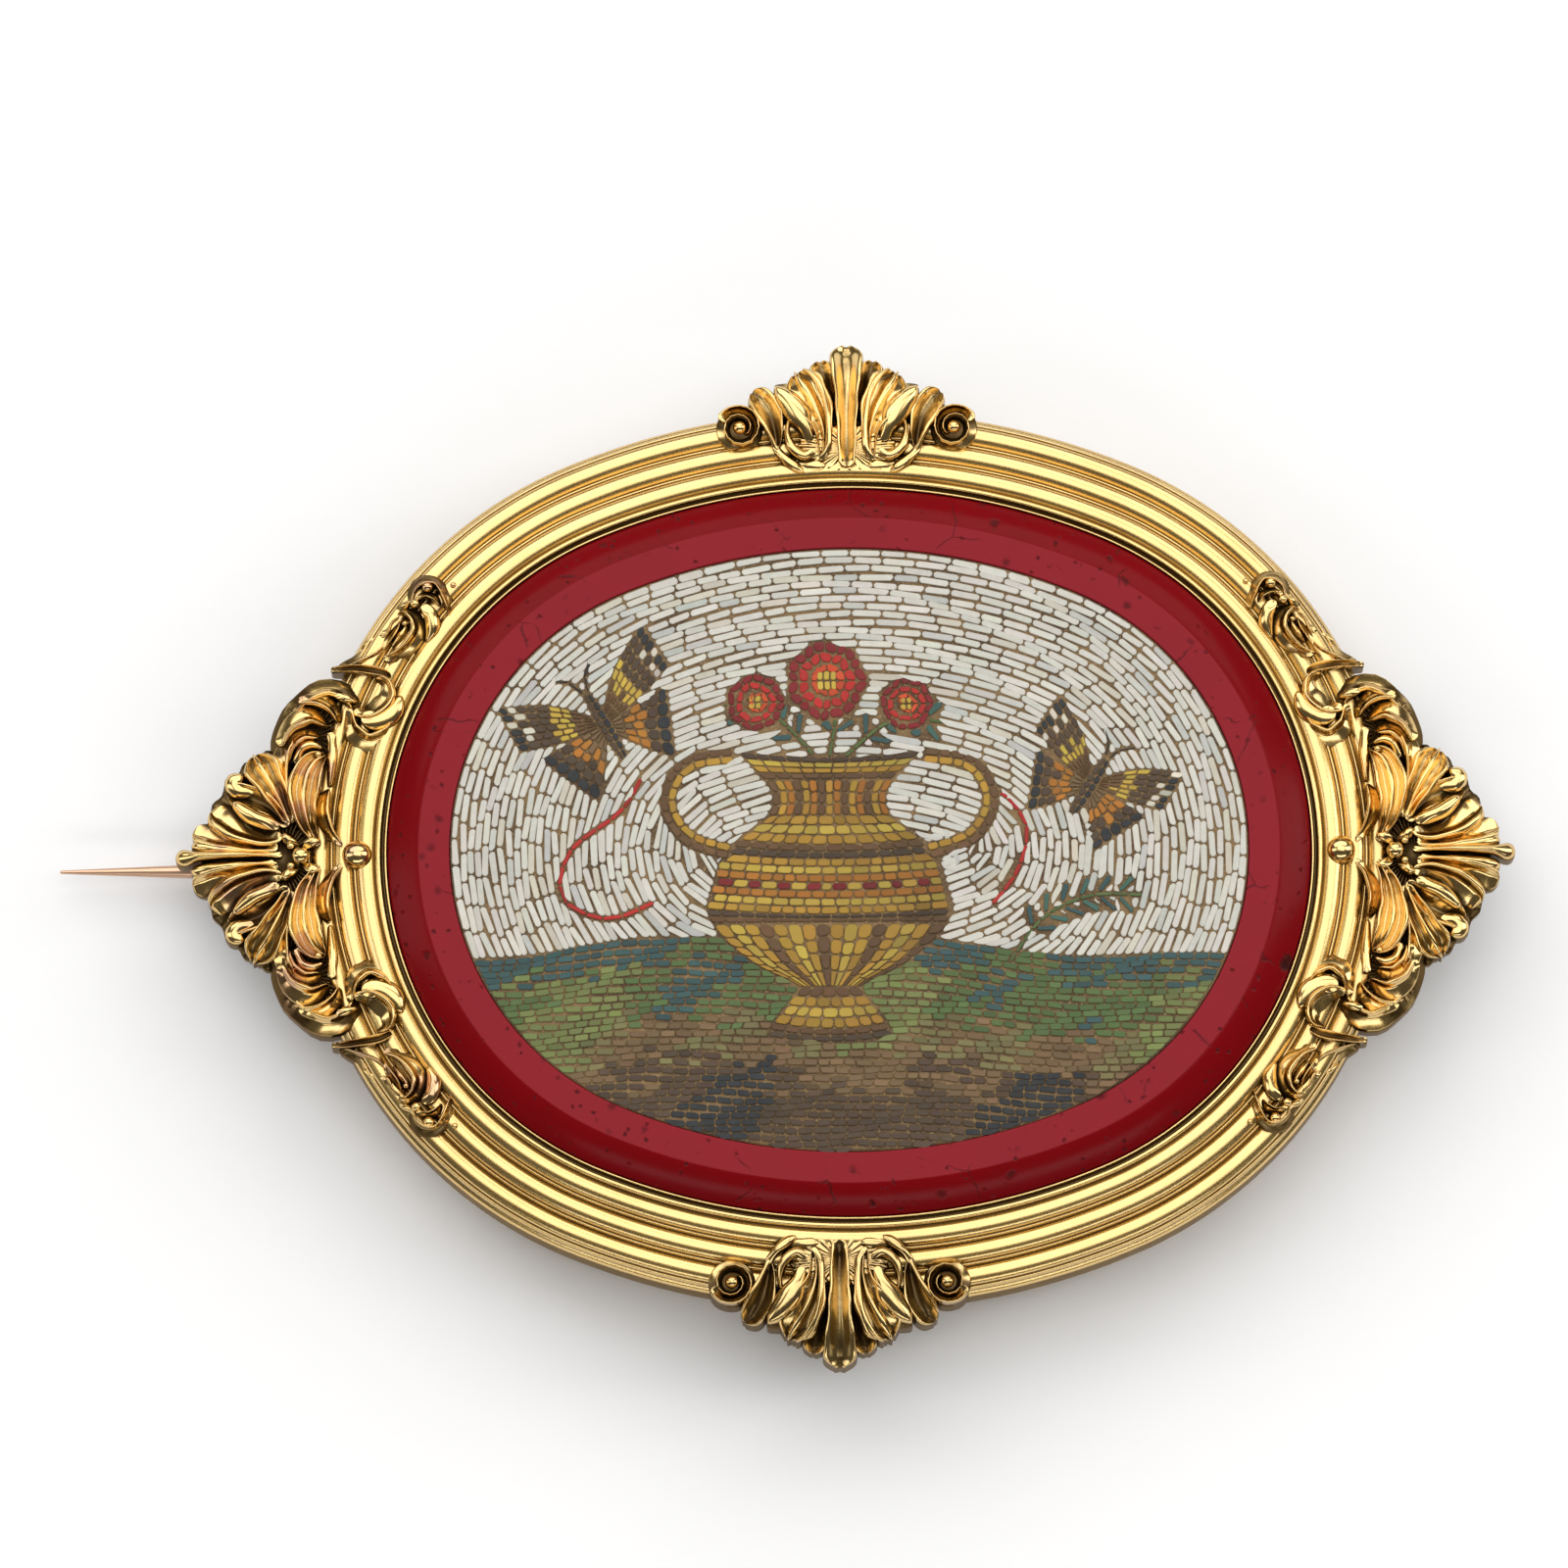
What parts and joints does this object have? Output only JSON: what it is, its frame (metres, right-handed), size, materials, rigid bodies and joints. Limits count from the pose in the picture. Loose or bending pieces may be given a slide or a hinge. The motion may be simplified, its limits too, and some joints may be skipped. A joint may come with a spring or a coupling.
{
  "type": "micromosaic brooch",
  "caption": "Oval brooch with a glass mosaic in a red glass plaque, a reeded gold border, acanthus mounts and a hinged pin.",
  "frame": {"origin": "middle of the whole outline, the pin included, at the surface the brooch lies on", "axes": "+X towards the hinge end, +Y towards the top of the picture, +Z out of the front"},
  "size_m": [0.0678, 0.048, 0.0077],
  "materials": {
    "frame_gold": "polished yellow gold with dark recesses",
    "back_gold": "plain polished gold",
    "pin_gold": "satin rosy gold",
    "red_glass": "opaque crimson glass, glossy and pitted",
    "mastic": "brown mastic",
    "sky_tesserae": "white glass sticks, polished flat",
    "ground_tesserae": "green and brown glass sticks, polished flat"
  },
  "bodies": {
    "brooch": {"gold_frame": "frame_gold", "red_plaque": "red_glass", "mastic_bed": "mastic", "mosaic_sky": "sky_tesserae", "mosaic_ground": "ground_tesserae", "back_plate": "back_gold", "hinge_rivet": "back_gold"},
    "pin": {"pin_stem": "pin_gold"}
  },
  "joints": [
    {"name": "pin_hinge", "type": "hinge", "parent": "brooch", "child": "pin", "pos_m": [0.022, 0, 0.00115], "axis": [0, -1, 0], "range_deg": [0, 110]}
  ]
}
